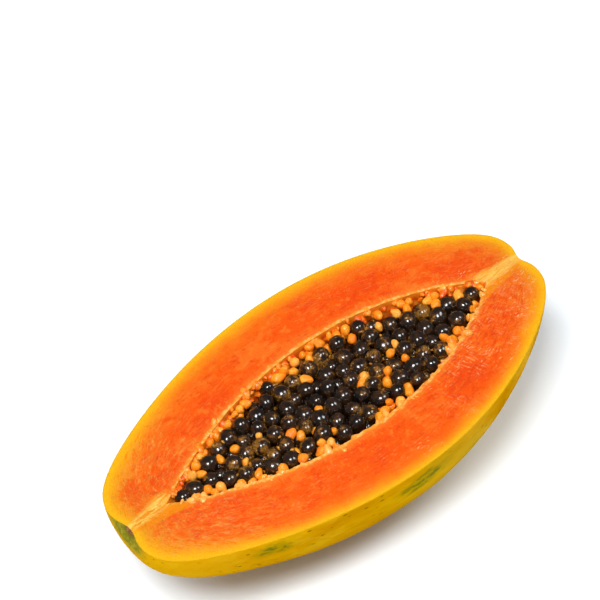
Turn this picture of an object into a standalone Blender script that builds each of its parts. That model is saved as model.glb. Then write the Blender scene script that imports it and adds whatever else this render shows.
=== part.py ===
"""Half a papaya, cut lengthwise, lying on its round back with the cut face up.

Metres, +Z up. The origin is the middle of the flat spot on which the fruit rests.
+X runs from the stalk end to the flower end, and the cut face is level.
"""

import math

import bmesh
import bpy
import numpy as np
from mathutils import Euler, Matrix, Vector

# Driving dimensions of the fruit
HALF_LENGTH = 0.100
HALF_WIDTH = 0.0528
DEPTH = 0.0572  # cut face to the lowest point of the round back
REST_FLAT = 0.0006  # how much of the back the flat spot takes off
CUT_Z = DEPTH - REST_FLAT

# Driving dimensions of the seed cavity, a pointed lens in the cut face
CAVITY_HALF_LENGTH = 0.0805
CAVITY_HALF_WIDTH = 0.0245
CAVITY_DEPTH = 0.0270

# Dry scars at the two ends: radius across the end, and depth along the fruit
STALK_SCAR = (0.0056, 0.0021)
FLOWER_SCAR = (0.0038, 0.0015)

# Seeds
SEED_RADII = (0.0035, 0.0031, 0.0031)
PALE_SEED_RADII = (0.0025, 0.0019, 0.0019)
SEED_COUNT = 50
PALE_SEED_COUNT = 8
RIPE_LAID = 74  # the whole top layer, of which the highest become pieces of their own
PALE_LAID = 34
PALE_LINING = 0.0016  # ripe seeds keep this far off the wall, where the pale seeds grow
SEED_PROUD = 0.0008  # the furthest that a seed stands above the cut face
SEED_STIR = 0.0024  # how unevenly the top seeds lie
GAP = 0.0003  # left between pieces that touch
BED_DROP = 2 * SEED_RADII[0] - SEED_PROUD + SEED_STIR + GAP  # cut face to the lower seeds
SETTLE_ROUNDS = 500
RANDOM_SEED = 11


def fruit_half_width(t):
    """Half the fruit's width at t, which runs from -1 at the stalk end to 1 at the flower end."""
    blunt_ends = (1 - abs(t) ** 2.1) ** 0.22
    return HALF_WIDTH * blunt_ends * (1 + 0.05 * t - 0.39 * t**2 - 0.09 * t**3)


def fruit_depth(t):
    return fruit_half_width(t) * DEPTH / HALF_WIDTH


def cavity_half_width(t):
    return CAVITY_HALF_WIDTH * (1 - t**2) ** 0.95 * (1 + 0.12 * t)


def cavity_depth(t):
    return CAVITY_DEPTH * (1 - t**2) ** 0.75


def even_stations(half_length, half_width, count):
    """Values of t, from -1 to 1, that are evenly spaced along the outline's own curve."""
    t = np.sin(np.linspace(-math.pi / 2, math.pi / 2, 4001))
    t[0], t[-1] = -1.0, 1.0
    width = np.array([half_width(value) for value in t])
    run = np.concatenate([[0.0], np.cumsum(np.hypot(np.diff(t * half_length), np.diff(width)))])
    return np.interp(np.linspace(0, run[-1], count), run, t)


def long_body(half_length, half_width, depth, around, along):
    """A ball with its poles on X, drawn out to the given outline. Its middle plane is the cut face."""
    bm = bmesh.new()
    lay_down = Matrix.Rotation(math.pi / 2, 4, "Y")
    bmesh.ops.create_uvsphere(bm, u_segments=around, v_segments=along, radius=1, matrix=lay_down)
    stations = even_stations(half_length, half_width, along + 1)
    for vertex in bm.verts:
        ring = round((1 - math.acos(max(-1.0, min(1.0, vertex.co.x))) / math.pi) * along)
        t = stations[ring]
        turn = math.atan2(vertex.co.z, vertex.co.y)
        vertex.co = (
            t * half_length,
            half_width(t) * math.cos(turn),
            CUT_Z + depth(t) * math.sin(turn),
        )
    return bm


def slice_level(bm, height, keep_below):
    """Cuts the body level at a height and closes the cut with one flat face."""
    cut = bmesh.ops.bisect_plane(
        bm,
        geom=bm.verts[:] + bm.edges[:] + bm.faces[:],
        dist=1e-7,
        plane_co=(0, 0, height),
        plane_no=(0, 0, 1),
        clear_outer=keep_below,
        clear_inner=not keep_below,
    )
    rim = [item for item in cut["geom_cut"] if isinstance(item, bmesh.types.BMEdge)]
    bmesh.ops.contextual_create(bm, geom=rim)
    bmesh.ops.recalc_face_normals(bm, faces=bm.faces)


def material(name, color, roughness):
    made = bpy.data.materials.new(name)
    made.diffuse_color = (*color, 1)
    made.use_nodes = True
    shader = made.node_tree.nodes["Principled BSDF"]
    shader.inputs["Base Color"].default_value = (*color, 1)
    shader.inputs["Roughness"].default_value = roughness
    shader.inputs["Metallic"].default_value = 0.0
    return made


def add_object(bm, name, collection, finish):
    mesh = bpy.data.meshes.new(name)
    bm.to_mesh(mesh)
    bm.free()
    mesh.materials.append(finish)
    mesh.shade_smooth()
    mesh.set_sharp_from_angle(angle=math.radians(40))
    made = bpy.data.objects.new(name, mesh)
    collection.objects.link(made)
    return made


def as_cutter(made):
    made.hide_render = True
    made.display_type = "WIRE"
    return made


def cut_with(body, cutter):
    cut = body.modifiers.new("cut_" + cutter.name, "BOOLEAN")
    cut.operation = "DIFFERENCE"
    cut.solver = "EXACT"
    cut.object = cutter


def scar_cutter(name, end, scar, cutters, finish):
    """A shallow dish-shaped cutter, centred on one end of the fruit."""
    radius, reach = scar
    bm = bmesh.new()
    bmesh.ops.create_uvsphere(bm, u_segments=20, v_segments=12, radius=1)
    bmesh.ops.scale(bm, vec=(reach, radius, radius), verts=bm.verts)
    bmesh.ops.translate(bm, vec=(end * HALF_LENGTH, 0, CUT_Z), verts=bm.verts)
    return as_cutter(add_object(bm, name, cutters, finish))


def make_half(parts, cutters, skin, flesh):
    """Flesh and skin grew as one piece: the cut half, hollowed by the seed cavity."""
    bm = long_body(HALF_LENGTH, fruit_half_width, fruit_depth, around=56, along=44)
    slice_level(bm, CUT_Z, keep_below=True)
    slice_level(bm, 0.0, keep_below=False)
    half = add_object(bm, "papaya_half", parts, skin)

    hollow = long_body(
        CAVITY_HALF_LENGTH, cavity_half_width, cavity_depth, around=32, along=30
    )
    cut_with(half, as_cutter(add_object(hollow, "seed_cavity", cutters, flesh)))
    cut_with(half, scar_cutter("stalk_scar", -1, STALK_SCAR, cutters, skin))
    cut_with(half, scar_cutter("flower_scar", 1, FLOWER_SCAR, cutters, skin))


def make_bed(parts, finish):
    """The lower seeds in their pulp, joined as one solid that fills the bottom of the cavity."""
    share = 1 - 2 * GAP / CAVITY_HALF_WIDTH
    bm = long_body(
        share * CAVITY_HALF_LENGTH,
        lambda t: share * cavity_half_width(t),
        lambda t: share * cavity_depth(t),
        around=32,
        along=30,
    )
    slice_level(bm, CUT_Z - BED_DROP, keep_below=True)
    add_object(bm, "seed_bed", parts, finish)


def push_inside(centres, radii, inset):
    """Moves seeds that stick through the cavity wall back inside it, and keeps their height."""
    reach = 1.2 * (radii + GAP)
    below_cut = CUT_Z - centres[:, 2]
    deep_enough = 1 - ((below_cut + reach) / CAVITY_DEPTH) ** (4 / 3)
    wide_enough = 1 - (reach + inset) / (0.88 * CAVITY_HALF_WIDTH)
    furthest = np.sqrt(np.minimum(deep_enough, wide_enough)) * CAVITY_HALF_LENGTH
    centres[:, 0] = np.clip(centres[:, 0], -furthest, furthest)
    t = centres[:, 0] / CAVITY_HALF_LENGTH
    room_down = cavity_depth(t) - reach
    room_across = cavity_half_width(t) - reach - inset
    side = room_across * np.sqrt(np.maximum(0.0, 1 - (below_cut / room_down) ** 2))
    centres[:, 1] = np.clip(centres[:, 1], -side, side)


def settle(centres, radii, inset):
    """Nudges crowded seeds apart in plan, round by round, until they lie beside each other."""
    wanted = radii[:, None] + radii[None, :] + 1.5 * GAP
    for _ in range(SETTLE_ROUNDS):
        away = centres[:, None, :] - centres[None, :, :]
        distance = np.linalg.norm(away, axis=2) + 1e-9
        np.fill_diagonal(distance, 1.0)
        press = np.maximum(0.0, wanted - distance) / distance
        centres[:, :2] += 0.35 * (away[:, :, :2] * press[:, :, None]).sum(axis=1)
        push_inside(centres, radii, inset)


def lay_seeds(random):
    """Centres of the ripe and the pale seeds in the top layer, each list from the highest down."""
    total = RIPE_LAID + PALE_LAID
    radii = np.full(total, SEED_RADII[0])
    radii[RIPE_LAID:] = PALE_SEED_RADII[0]
    inset = np.where(radii < SEED_RADII[0], 0.0, PALE_LINING)
    centres = np.empty((total, 3))
    centres[:, 0] = random.uniform(-0.9, 0.9, total) * CAVITY_HALF_LENGTH
    sideways = random.uniform(-1, 1, total)
    sideways[RIPE_LAID:] = np.copysign(1.0, sideways[RIPE_LAID:])
    centres[:, 1] = sideways * cavity_half_width(centres[:, 0] / CAVITY_HALF_LENGTH)
    centres[:, 2] = CUT_Z + SEED_PROUD - radii - random.uniform(0, SEED_STIR, total)
    push_inside(centres, radii, inset)
    settle(centres, radii, inset)
    ripe = sorted((Vector(c) for c in centres[:RIPE_LAID]), key=lambda c: -c.z)
    pale = sorted((Vector(c) for c in centres[RIPE_LAID:]), key=lambda c: -c.z)
    return ripe, pale


def pick_clear(candidates, radius, count, placed):
    """The first seeds of the list that are clear of every seed placed so far."""
    picked = []
    for centre in candidates:
        if len(picked) == count:
            break
        if all((centre - other).length > radius + size + GAP for other, size in placed):
            placed.append((centre, radius))
            picked.append(centre)
    return sorted(picked, key=lambda c: c.x)


def make_seed(name, centre, radii, random, parts, finish):
    """An egg-shaped seed, turned to lie its own way."""
    bm = bmesh.new()
    bmesh.ops.create_icosphere(bm, subdivisions=2, radius=1)
    for vertex in bm.verts:
        taper = 1 - 0.08 * vertex.co.x
        vertex.co = Vector((radii[0], radii[1] * taper, radii[2] * taper)) * vertex.co
    turn = Euler(random.uniform(-math.pi, math.pi, 3)).to_matrix().to_4x4()
    bmesh.ops.transform(bm, matrix=Matrix.Translation(centre) @ turn, verts=bm.verts)
    add_object(bm, name, parts, finish)


def make_seeds(parts, black, pale):
    """The highest seeds of the top layer, each a piece of its own."""
    random = np.random.default_rng(RANDOM_SEED)
    ripe_centres, pale_centres = lay_seeds(random)
    placed = []
    for centres, radii, count, name, finish in (
        (ripe_centres, SEED_RADII, SEED_COUNT, "seed", black),
        (pale_centres, PALE_SEED_RADII, PALE_SEED_COUNT, "pale_seed", pale),
    ):
        picked = pick_clear(centres, radii[0], count, placed)
        print(name, len(picked), "of", count)
        for number, centre in enumerate(picked, start=1):
            make_seed(f"{name}_{number:02d}", centre, radii, random, parts, finish)


def new_collection(name):
    made = bpy.data.collections.new(name)
    bpy.context.scene.collection.children.link(made)
    return made


def main():
    for old in list(bpy.data.objects):
        bpy.data.objects.remove(old)
    parts = new_collection("papaya_half_with_seeds")
    cutters = new_collection("cutters")
    skin = material("papaya_skin", (0.80, 0.46, 0.02), 0.35)
    flesh = material("papaya_flesh", (0.92, 0.17, 0.02), 0.40)
    pulp = material("seed_pulp", (0.55, 0.16, 0.03), 0.45)
    black = material("ripe_seed", (0.015, 0.011, 0.009), 0.15)
    pale = material("pale_seed", (0.93, 0.42, 0.05), 0.35)
    make_half(parts, cutters, skin, flesh)
    make_bed(parts, pulp)
    make_seeds(parts, black, pale)


main()
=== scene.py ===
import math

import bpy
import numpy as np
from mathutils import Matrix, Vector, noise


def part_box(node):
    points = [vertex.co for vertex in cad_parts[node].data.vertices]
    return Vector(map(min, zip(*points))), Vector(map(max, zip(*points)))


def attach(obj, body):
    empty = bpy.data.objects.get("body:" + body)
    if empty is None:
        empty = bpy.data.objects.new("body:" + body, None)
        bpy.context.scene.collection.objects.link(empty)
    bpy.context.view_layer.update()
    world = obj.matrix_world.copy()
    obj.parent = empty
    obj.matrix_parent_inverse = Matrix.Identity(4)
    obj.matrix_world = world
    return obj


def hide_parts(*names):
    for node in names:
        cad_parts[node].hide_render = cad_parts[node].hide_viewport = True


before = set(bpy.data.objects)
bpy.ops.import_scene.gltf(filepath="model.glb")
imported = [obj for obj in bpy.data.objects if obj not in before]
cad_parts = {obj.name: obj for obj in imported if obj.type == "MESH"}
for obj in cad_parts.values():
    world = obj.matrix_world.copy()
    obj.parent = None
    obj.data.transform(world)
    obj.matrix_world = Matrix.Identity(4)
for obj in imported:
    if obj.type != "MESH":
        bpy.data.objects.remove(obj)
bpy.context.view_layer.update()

# %% [markdown]
# # Half a papaya
# A ripe papaya has been cut in half lengthwise and lies on its round back, cut face up.
# The construction model gives the sizes and the place of every piece. This lesson builds
# the looks around it: skin and flesh as one body, then the seeds, the pulp that they grow
# in, and the light of a small studio table.


# %% [markdown]
# ## Measuring the fruit
# The fruit is symmetrical about its length, so a few sizes describe it: how long, wide and
# deep the half is, and how long, wide and deep the seed cavity is. They are measured on the
# construction model, so that the skin drawn here lands on the same surface.

# %% Sizes of the fruit
low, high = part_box("papaya_half")
HALF_LENGTH = (high[0] - low[0]) / 2
HALF_WIDTH = (high[1] - low[1]) / 2
CUT_Z = high[2]
REST_FLAT = 0.0006  # how much the spot that it rests on is flattened
DEPTH = CUT_Z + REST_FLAT
MM = 0.001

cut_points = np.array([v.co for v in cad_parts["papaya_half"].data.vertices])
cut_points = cut_points[cut_points[:, 2] > CUT_Z - 0.01 * MM]
across_middle = np.abs(cut_points[np.abs(cut_points[:, 0]) < 5 * MM, 1])
along_middle = np.abs(cut_points[np.abs(cut_points[:, 1]) < 0.5 * MM, 0])
CAVITY_HALF_WIDTH = float(across_middle.min())
CAVITY_HALF_LENGTH = float(along_middle.min())
CAVITY_DEPTH = 1.10 * CAVITY_HALF_WIDTH
print(f"fruit {2000 * HALF_LENGTH:.0f} x {2000 * HALF_WIDTH:.0f} x {1000 * CUT_Z:.0f} mm")
print(f"cavity {2000 * CAVITY_HALF_LENGTH:.0f} x {2000 * CAVITY_HALF_WIDTH:.0f} mm")


# %% Outlines, for t from -1 at the stalk end to 1 at the flower end
def fruit_half_width(t):
    blunt_ends = (1 - abs(t) ** 2.1) ** 0.22
    return HALF_WIDTH * blunt_ends * (1 + 0.05 * t - 0.39 * t**2 - 0.09 * t**3)


def cavity_half_width(t):
    return CAVITY_HALF_WIDTH * (1 - t**2) ** 0.95 * (1 + 0.12 * t)


def cavity_depth(t):
    return CAVITY_DEPTH * (1 - t**2) ** 0.75


print(f"cavity in the middle: {1000 * cavity_depth(0):.0f} mm deep")


# %% An outline with its points evenly spaced all the way round
TRACE_POINTS = 8001  # points that an outline is traced with before it is spaced evenly


def ring_of_points(half_length, half_width, count):
    """Points round a closed outline, anticlockwise from its +X end."""
    turn = np.linspace(0, 2 * math.pi, TRACE_POINTS)
    t = np.cos(turn)
    x = t * half_length
    y = np.where(turn <= math.pi, 1.0, -1.0) * half_width(t)
    run = np.concatenate([[0.0], np.cumsum(np.hypot(np.diff(x), np.diff(y)))])
    even = np.linspace(0, run[-1], count + 1)[:-1]
    return np.stack([np.interp(even, run, x), np.interp(even, run, y)], axis=1)


SPOKES = 384
rim_ring = ring_of_points(HALF_LENGTH, fruit_half_width, SPOKES)
cavity_ring = ring_of_points(CAVITY_HALF_LENGTH, cavity_half_width, SPOKES)
print("spokes round the fruit:", SPOKES)


# %% [markdown]
# ## Small helpers
# Blender's operators act on everything that is selected, and the loaded model arrives
# selected. So each new piece starts by clearing the selection.

# %% Selection, finishing and naming helpers
def start_clean():
    if bpy.context.object and bpy.context.object.mode != "OBJECT":
        bpy.ops.object.mode_set(mode="OBJECT")
    bpy.ops.object.select_all(action="DESELECT")


def only(made):
    start_clean()
    bpy.context.view_layer.objects.active = made
    made.select_set(True)


def stamp(values, made, layer):
    """Writes one pair of numbers for each vertex into a UV map."""
    corner_vertices = np.empty(len(made.data.loops), dtype=np.int32)
    made.data.loops.foreach_get("vertex_index", corner_vertices)
    uv = made.data.uv_layers.get(layer) or made.data.uv_layers.new(name=layer)
    uv.data.foreach_set("uv", np.asarray(values, dtype=np.float32)[corner_vertices].ravel())


def coordinates(made):
    flat = np.empty(3 * len(made.data.vertices), dtype=np.float32)
    made.data.vertices.foreach_get("co", flat)
    return flat.reshape(-1, 3).astype(float)


def move_vertices(made, places):
    made.data.vertices.foreach_set("co", np.asarray(places, dtype=np.float32).ravel())
    made.data.update()


# %% [markdown]
# ## Skin and flesh
# On the real fruit the skin is only the outermost film of the flesh, so the two are one
# body here too. It could be carved from a solid with cutters, but then its faces would be
# uneven. Instead a ball is halved, and its open rim is extruded inwards ring by ring to
# make the cut face, and then downwards to line the seed cavity. At first all of this is
# done as a plain round bowl, where every ring is a circle. The last step moves each ring
# to its true outline.

# %% The bowl: half a ball, poles up and down
SKIN_RINGS = 64
start_clean()
bpy.ops.mesh.primitive_uv_sphere_add(segments=SPOKES, ring_count=2 * SKIN_RINGS, radius=1)
half = bpy.context.object
half.name = half.data.name = "papaya_flesh_and_skin"
print("faces of the whole ball:", len(half.data.polygons))
bpy.ops.object.mode_set(mode="EDIT")
bpy.ops.mesh.select_all(action="SELECT")
bpy.ops.mesh.bisect(plane_co=(0, 0, 0), plane_no=(0, 0, 1), clear_outer=True, threshold=1e-4)


# %% The cut face: the rim extruded inwards, closely at both edges
def next_ring(radius, wanted, rise=0.0):
    """Extrudes the open ring, lifts the new one by rise and shrinks it to the wanted radius."""
    bpy.ops.mesh.extrude_region_move(TRANSFORM_OT_translate={"value": (0, 0, rise)})
    bpy.ops.transform.resize(value=(wanted / radius, wanted / radius, 1), center_override=(0, 0, 0))
    return wanted


FACE_RINGS = 34
FACE_INNER = 0.5  # radius of the bowl's ring that becomes the edge of the cavity
steps = np.linspace(0, 1, FACE_RINGS + 1)
face_share = 0.55 * (0.5 - 0.5 * np.cos(math.pi * steps)) + 0.45 * steps
bpy.ops.mesh.select_all(action="DESELECT")
bpy.ops.mesh.select_mode(type="EDGE")
bpy.ops.mesh.select_non_manifold(extend=False, use_wire=False, use_boundary=True, use_multi_face=False,
                                 use_non_contiguous=False, use_verts=False)
radius = 1.0
for share in face_share[1:]:
    radius = next_ring(radius, 1 - (1 - FACE_INNER) * share)
print("rings on the cut face:", FACE_RINGS)

# %% The cavity: the inner ring extruded on, each ring a step higher in the plain bowl
CAVITY_RINGS = 22
for ring in range(1, CAVITY_RINGS + 1):
    radius = next_ring(radius, FACE_INNER * (1 - 0.9 * ring / CAVITY_RINGS), 1 / CAVITY_RINGS)
bpy.ops.object.mode_set(mode="OBJECT")
print("faces with cut face and cavity:", len(half.data.polygons))


# %% [markdown]
# ### From bowl to fruit
# Each vertex of the bowl knows three things: which spoke it is on, whether it belongs to
# the skin (below the rim), the cut face (level) or the cavity (above), and how far along
# it is. From these its true place follows. Small uneven swellings, the dimples at both
# ends and the ragged edge of the cavity are added on the way.

# %% Gentle unevenness, the same on every run
def rough(places, size, depth, seed=0.0):
    """Smooth random bumps: size is their spacing in metres, depth their height."""
    shift = Vector((seed * 3.1, seed * 1.7, seed * 2.3))
    return np.array([depth * noise.noise(Vector(p) / size + shift) for p in places])


print("unevenness at one spot:", rough([(0.01, 0, 0)], 0.03, 1)[0])


# %% Where each vertex belongs
plain = coordinates(half)
spoke_angle = np.arctan2(plain[:, 1], plain[:, 0]) % (2 * math.pi)
spoke = np.rint(spoke_angle / (2 * math.pi) * SPOKES).astype(int) % SPOKES
reach = np.hypot(plain[:, 0], plain[:, 1])
on_skin = plain[:, 2] < -1e-4
in_cavity = plain[:, 2] > 1e-4
on_face = ~on_skin & ~in_cavity
across_face = np.clip((1 - reach) / (1 - FACE_INNER), 0, 1)
down_cavity = np.clip(plain[:, 2], 0, 1)
print("skin, cut face, cavity:", on_skin.sum(), on_face.sum(), in_cavity.sum())


# %% Ragged edge of the cavity, more so on the side where the pulp tore
def edge_wobble(points):
    """How far inwards, in metres, the cavity's edge strays at each of its points."""
    wobble = []
    for x, y in points:
        place = Vector((x, y, 0))
        torn = 1.0 if y < 0 else 0.5
        wave = 0.9 * noise.noise(place / 0.011) + 0.8 * noise.noise(place / 0.0042)
        wobble.append(torn * 0.7 * MM * wave)
    return np.array(wobble)


middle_pull = np.stack([cavity_ring[:, 0] * 0.02, cavity_ring[:, 1]], axis=1)
middle_pull /= np.linalg.norm(middle_pull, axis=1)[:, None] + 1e-9
edge_strays = edge_wobble(cavity_ring)
cavity_edge = cavity_ring - middle_pull * edge_strays[:, None]
print(f"the edge strays by up to {1000 * np.abs(edge_strays).max():.1f} mm")

# %% True places of skin, cut face and cavity
places = np.zeros_like(plain)
places[:, :2] = rim_ring[spoke] * np.where(on_skin, reach, 1.0)[:, None]
fraction = np.clip(np.abs(places[:, 0]) / HALF_LENGTH, 0, 1) * np.sign(places[:, 0])
half_width_here = fruit_half_width(fraction)
hollow_under = np.sqrt(np.clip(half_width_here**2 - places[:, 1] ** 2, 0, None))
places[:, 2] = np.where(on_skin, CUT_Z - hollow_under * DEPTH / HALF_WIDTH, CUT_Z)

edge_here, rim_here = cavity_edge[spoke], rim_ring[spoke]
between = rim_here + (edge_here - rim_here) * across_face[:, None]
places[on_face, :2] = between[on_face]

turn = down_cavity * math.pi / 2
opposite_spoke = (SPOKES - spoke) % SPOKES
keel_x = (cavity_ring[spoke, 0] + cavity_ring[opposite_spoke, 0]) / 2
to_keel = np.round(down_cavity, 4) ** 2
cavity_x = edge_here[:, 0] * (1 - to_keel) + keel_x * to_keel
cavity_t = np.clip(cavity_x / CAVITY_HALF_LENGTH, -1, 1)
places[in_cavity, 0] = cavity_x[in_cavity]
places[in_cavity, 1] = (edge_here[:, 1] * np.cos(turn))[in_cavity]
places[in_cavity, 2] = (CUT_Z - cavity_depth(cavity_t) * np.sin(turn))[in_cavity]
print(f"lowest point so far: {1000 * places[:, 2].min():.1f} mm")

# %% Distances on the cut face, kept for the finishes
span = np.linalg.norm(edge_here - rim_here, axis=1)
from_skin = np.where(on_skin, 0.0, across_face * span)
from_skin[in_cavity] = span[in_cavity]
from_cavity = np.where(in_cavity, 0.0, (1 - across_face) * span)
print(f"flesh is {1000 * span.min():.0f} to {1000 * span.max():.0f} mm thick")

# %% Dimples with dry scars at the ends
STALK_DIMPLE = (0.0060, 0.0024)  # radius and depth
FLOWER_DIMPLE = (0.0042, 0.0019)
for end, (dimple_radius, dimple_depth) in ((-1, STALK_DIMPLE), (1, FLOWER_DIMPLE)):
    tip = np.array([end * HALF_LENGTH, 0.0, CUT_Z])
    away = places - tip
    away[:, 0] *= 0.5
    pull = dimple_depth * np.exp(-((np.linalg.norm(away, axis=1) / dimple_radius) ** 2))
    places[:, 0] -= end * pull
print(f"length with the dimples: {1000 * np.ptp(places[:, 0]):.1f} mm")

# %% Swellings on the skin and fine relief on the cut face
SWELL_START = 4 * MM  # the swellings reach their full height this far below the rim
outward = places - np.array([0, 0, CUT_Z])
outward[:, 0] *= 0.25
outward /= np.linalg.norm(outward, axis=1)[:, None] + 1e-9
swell = rough(places, 0.030, 0.55 * MM, 1) + rough(places, 0.011, 0.16 * MM, 2)
below_rim = np.clip((CUT_Z - places[:, 2]) / SWELL_START, 0, 1)
places[on_skin] += (outward * (swell * below_rim)[:, None])[on_skin]
relief = rough(places, 0.0035, 0.10 * MM, 3) + rough(places, 0.0015, 0.07 * MM, 4)
inner_face = on_face & (from_skin > 0.4 * MM)
places[inner_face, 2] += relief[inner_face]
lumps = rough(places, 0.0040, 0.9 * MM, 5) + rough(places, 0.0018, 0.45 * MM, 6)
wall_fade = np.clip(down_cavity * 6, 0, 1) * np.clip((1 - down_cavity) * 8, 0, 1)
places[:, 1] -= np.where(in_cavity, np.sign(places[:, 1]) * lumps * wall_fade, 0.0)
places[:, 2] = np.maximum(places[:, 2], 0.0)
move_vertices(half, places)
print(f"largest swelling: {1000 * np.abs(swell).max():.1f} mm")

# %% [markdown]
# ### Maps for the finishes
# The flesh changes colour with its distance to the skin and to the cavity, and its fibres
# fan out from one end of the fruit and meet again at the other. Both are worked out for
# each vertex and kept as UV maps: one of the two distances, and one that runs along and
# across the fibres.

# %% Distances and fibres as UV maps
def fibre_map(points):
    """Along and across the arcs that run from end to end of the fruit."""
    end_x = 0.985 * HALF_LENGTH
    x, y = points[:, 0], points[:, 1]
    from_stalk = np.hypot(x + end_x, y)
    from_flower = np.hypot(x - end_x, y)
    along = np.log((from_stalk + 3 * MM) / (from_flower + 3 * MM))
    turned = np.arctan2(y, x + end_x) + np.arctan2(y, end_x - x)
    return np.stack([along, turned], axis=1)


stamp(np.stack([from_skin, from_cavity], axis=1) * 1000, half, "distances_mm")
stamp(fibre_map(places), half, "fibres")
print("UV maps:", [layer.name for layer in half.data.uv_layers])

# %% Which faces are skin, cut flesh and cavity wall
SKIN, FLESH, WALL = 0, 1, 2
vertex_kind = np.where(on_skin, SKIN, np.where(in_cavity, WALL, FLESH))
face_kind = []
for polygon in half.data.polygons:
    kinds = vertex_kind[list(polygon.vertices)]
    face_kind.append(SKIN if SKIN in kinds else WALL if WALL in kinds else FLESH)
half.data.polygons.foreach_set("material_index", np.array(face_kind, dtype=np.int32))
print("faces of skin, flesh and wall:", [face_kind.count(kind) for kind in (SKIN, FLESH, WALL)])

# %% Zip the keel of the cavity together and look at the result
only(half)
bpy.ops.object.mode_set(mode="EDIT")
bpy.ops.mesh.select_all(action="SELECT")
bpy.ops.mesh.remove_doubles(threshold=5e-6)
bpy.ops.mesh.normals_make_consistent(inside=False)
bpy.ops.mesh.select_all(action="DESELECT")
bpy.ops.mesh.select_non_manifold()
bpy.ops.object.mode_set(mode="OBJECT")
open_edges = sum(edge.select for edge in half.data.edges)
print("edges left open:", open_edges, "vertices:", len(half.data.vertices))


# %% [markdown]
# ## Finishes
# A finish is a small network of nodes. These helpers keep each network short: add makes a
# node in the network that is open, called tree, and fills or links its inputs. The others
# make the nodes that recur.

# %% Helpers that make a node
def tally():
    print("nodes in the open network:", len(tree.nodes))


def feed(socket, value):
    """Links another node's output to a socket, or sets the socket to a plain value."""
    if isinstance(value, bpy.types.NodeSocket):
        tree.links.new(value, socket)
    else:
        socket.default_value = value


def add(kind, inputs=None, **settings):
    made = tree.nodes.new(kind)
    for name, value in settings.items():
        setattr(made, name, value)
    for name, value in (inputs or {}).items():
        feed(made.inputs[name], value)
    return made


def calc(operation, first, second=0.0, clamp=False):
    made = add("ShaderNodeMath", {0: first, 1: second}, operation=operation)
    made.use_clamp = clamp
    return made.outputs[0]


def plus(first, second, clamp=False):
    return calc("ADD", first, second, clamp)


def minus(first, second):
    return calc("SUBTRACT", first, second)


def times(*values):
    """The product of masks and numbers."""
    product = values[0]
    for value in values[1:]:
        product = calc("MULTIPLY", product, value)
    return product


def fade(value, start, end):
    """0 where value is start, 1 where it is end, and smooth between."""
    limits = {"Value": value, "From Min": start, "From Max": end}
    return add("ShaderNodeMapRange", limits, interpolation_type="SMOOTHSTEP").outputs[0]


def between(value, low, high):
    """Low where value is 0, high where it is 1."""
    return add("ShaderNodeMapRange", {"Value": value, "To Min": low, "To Max": high}).outputs[0]


def near_to(vector, point, far, near):
    """0 at the distance far from the point, 1 from the distance near inwards."""
    gap = add("ShaderNodeVectorMath", {0: vector, 1: point}, operation="DISTANCE")
    return fade(gap.outputs["Value"], far, near)


def axes_of(vector):
    return add("ShaderNodeSeparateXYZ", {0: vector}).outputs


def combined(x, y, z=0.0):
    return add("ShaderNodeCombineXYZ", {0: x, 1: y, 2: z}).outputs[0]


def own_map(name):
    return add("ShaderNodeUVMap", uv_map=name).outputs[0]


# %% Helpers for colour
STUDIO_LIGHT = 1.5  # how much brighter than plain white a white surface stands in the studio


def paint(red, green, blue):
    """The reflectance of a surface that shows these 0 to 255 values under the studio light."""
    shares = [value / 255 for value in (red, green, blue)]
    linear = [s / 12.92 if s <= 0.04045 else ((s + 0.055) / 1.055) ** 2.4 for s in shares]
    return (*(value / STUDIO_LIGHT for value in linear), 1.0)


def mix(factor, under, over):
    return add("ShaderNodeMix", {0: factor, 6: under, 7: over}, data_type="RGBA").outputs[2]


def cover(under, over, *masks):
    """The colour over laid on the colour under, as strongly as the masks together say."""
    return mix(times(*masks), under, over)


def ramp(value, stops):
    made = add("ShaderNodeValToRGB", {"Fac": value})
    elements = made.color_ramp.elements
    while len(elements) < len(stops):
        elements.new(0.5)
    for element, (position, color) in zip(elements, stops):
        element.position = position
        element.color = color
    return made.outputs["Color"]


print("middle grey:", paint(128, 128, 128)[0])


# %% Helpers for patterns
def speckle(vector, scale, detail=3.0, roughness=0.5, distortion=0.0):
    made = add("ShaderNodeTexNoise", {"Vector": vector, "Scale": scale, "Detail": detail,
                                      "Roughness": roughness, "Distortion": distortion})
    return made.outputs["Fac"]


def sway(pattern, size):
    """A pattern as a shift to either side, size wide in all."""
    return times(minus(pattern, 0.5), size)


def cell_distance(vector, scale):
    """How far each spot is from the nearest of many strewn points."""
    return add("ShaderNodeTexVoronoi", {"Vector": vector, "Scale": scale}).outputs["Distance"]


def stretched(vector, scale):
    return add("ShaderNodeMapping", {"Vector": vector, "Scale": scale}).outputs[0]


def warped(vector, scale, amount):
    """The vector pushed about by noise, so that a pattern on it wanders."""
    pattern = add("ShaderNodeTexNoise", {"Vector": vector, "Scale": scale, "Detail": 2.0})
    push = pattern.outputs["Color"]
    for operation, number in (("SUBTRACT", 0.5), ("MULTIPLY", amount)):
        step = add("ShaderNodeVectorMath", {0: push, 1: (number,) * 3}, operation=operation)
        push = step.outputs[0]
    return add("ShaderNodeVectorMath", {0: vector, 1: push}, operation="ADD").outputs[0]


def bump(height, distance, strength=1.0, below=None):
    inputs = {"Height": height, "Distance": distance, "Strength": strength}
    if below is not None:
        inputs["Normal"] = below
    return add("ShaderNodeBump", inputs).outputs[0]


# %% Helpers that open and close a finish
def new_finish(name):
    """A new material, its shader and the place on the object, with its network left open."""
    global tree
    made = bpy.data.materials.new(name)
    made.use_nodes = True
    tree = made.node_tree
    tree.nodes.clear()
    shader = add("ShaderNodeBsdfPrincipled")
    add("ShaderNodeOutputMaterial", {"Surface": shader.outputs[0]})
    return made, shader, add("ShaderNodeTexCoord").outputs["Object"]


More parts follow.
